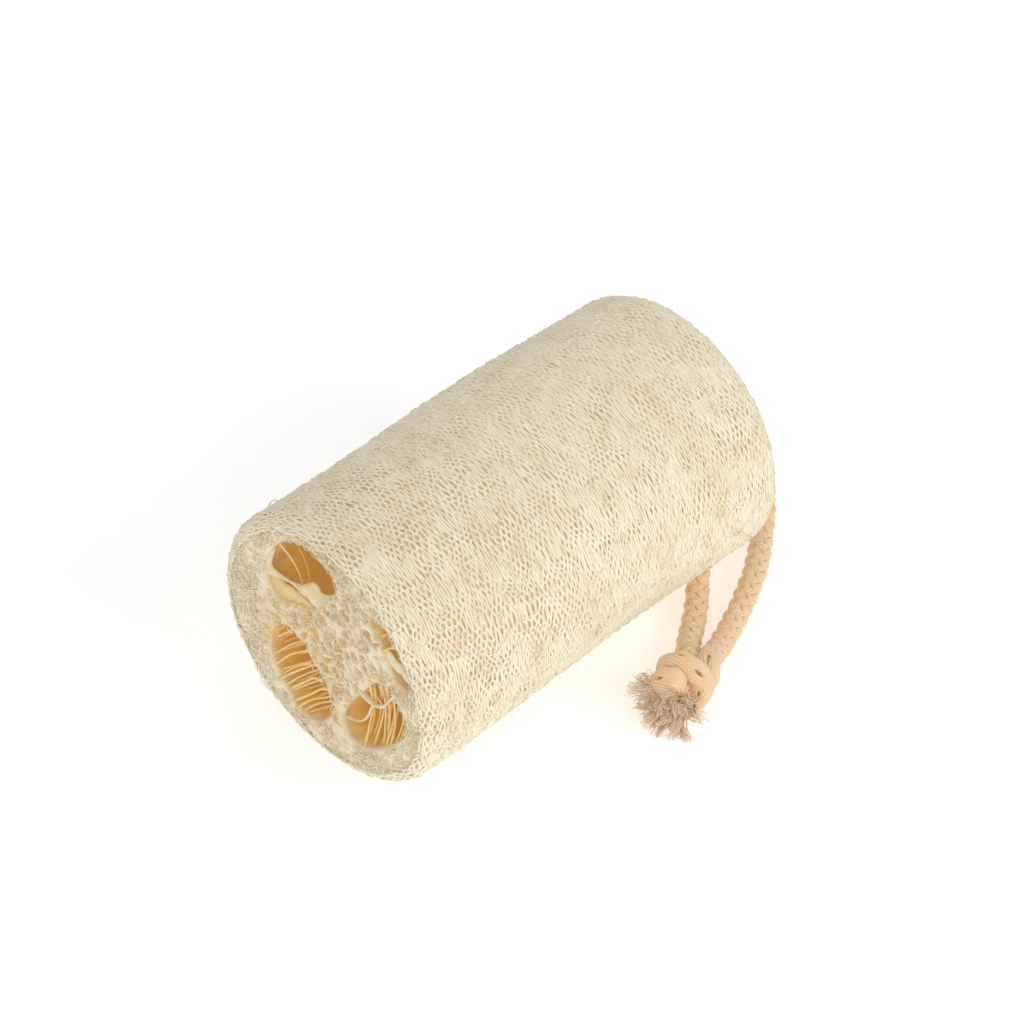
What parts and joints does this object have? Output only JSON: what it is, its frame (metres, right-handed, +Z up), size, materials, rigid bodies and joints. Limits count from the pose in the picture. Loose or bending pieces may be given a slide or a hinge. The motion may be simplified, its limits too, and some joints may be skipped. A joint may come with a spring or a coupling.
{
  "type": "loofah sponge",
  "caption": "Round natural loofah bath sponge with open seed channels at its cut end and a braided cotton hanging cord tied in an overhand knot.",
  "frame": {"origin": "bottom centre of the sponge body's bounding box, on the surface it lies on; the cord is left out", "axes": "+X along the sponge from the open cut end to the cord end, +Z up, cord knot on the -Y side"},
  "size_m": [0.1134, 0.0793, 0.0577],
  "materials": {
    "loofah_fibre": "dry matt plant fibre",
    "cotton_cord": "soft braided cotton"
  },
  "bodies": {
    "root": {"loofah_body": "loofah_fibre", "cord_loop": "cotton_cord", "cord_knot": "cotton_cord"}
  },
  "joints": []
}
